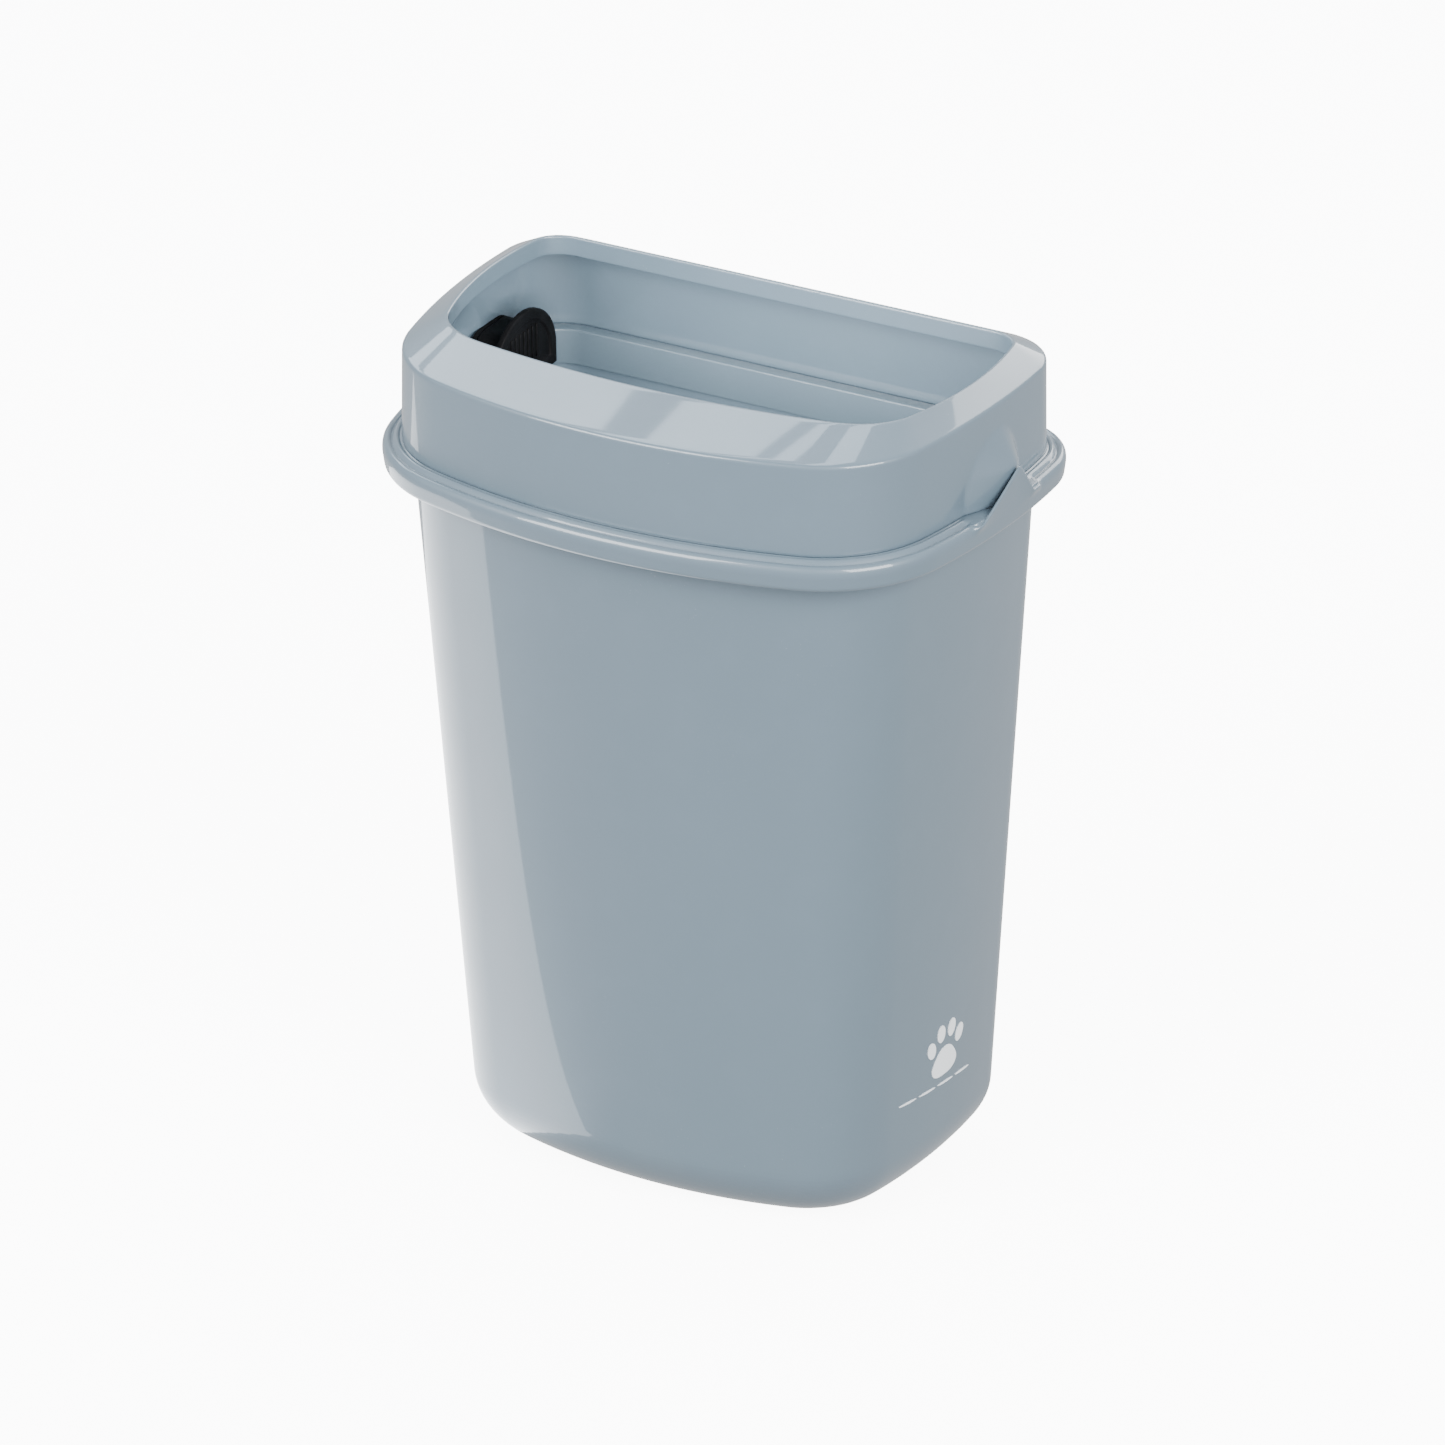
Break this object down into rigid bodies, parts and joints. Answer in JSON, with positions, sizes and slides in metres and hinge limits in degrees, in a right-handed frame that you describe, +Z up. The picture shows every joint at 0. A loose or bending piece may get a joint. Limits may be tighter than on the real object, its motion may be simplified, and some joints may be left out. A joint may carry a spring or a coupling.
{
  "type": "dog waste bin",
  "caption": "Tapered D-plan waste bin with a lift-off open-topped hood, side grips, a liner ring and a clip-in odour cartridge.",
  "frame": {"origin": "middle of the bin's footprint rectangle, on the ground", "axes": "+Z up, +Y towards the flat back, -Y towards the bowed front, +X to the right seen from the front"},
  "size_m": [0.4348, 0.294, 0.594],
  "materials": {
    "bin_plastic": "glossy moulded grey-blue polyethylene",
    "ring_plastic": "satin moulded grey-blue polyethylene",
    "black_plastic": "fine-textured black polypropylene",
    "carbon_felt": "dark activated-carbon felt",
    "steel": "plain stainless steel",
    "white_print": "white screen print"
  },
  "bodies": {
    "tub": {"tub": "bin_plastic", "fixing_bushes": "steel", "printed_mark": "white_print"},
    "ring": {"bag_ring": "ring_plastic"},
    "hood": {"lid_hood": "bin_plastic", "cartridge_bracket": "black_plastic", "bracket_screws": "steel"},
    "cartridge": {"cartridge_cover": "black_plastic", "carbon_pad": "carbon_felt"}
  },
  "joints": [
    {"name": "ring_lift", "type": "slide", "parent": "tub", "child": "ring", "axis": [0, 0, 1], "range_m": [0, 0.04]},
    {"name": "hood_lift", "type": "slide", "parent": "ring", "child": "hood", "axis": [0, 0, 1], "range_m": [0, 0.12]},
    {"name": "cartridge_lift", "type": "slide", "parent": "hood", "child": "cartridge", "axis": [0, 0, 1], "range_m": [0, 0.016]}
  ]
}
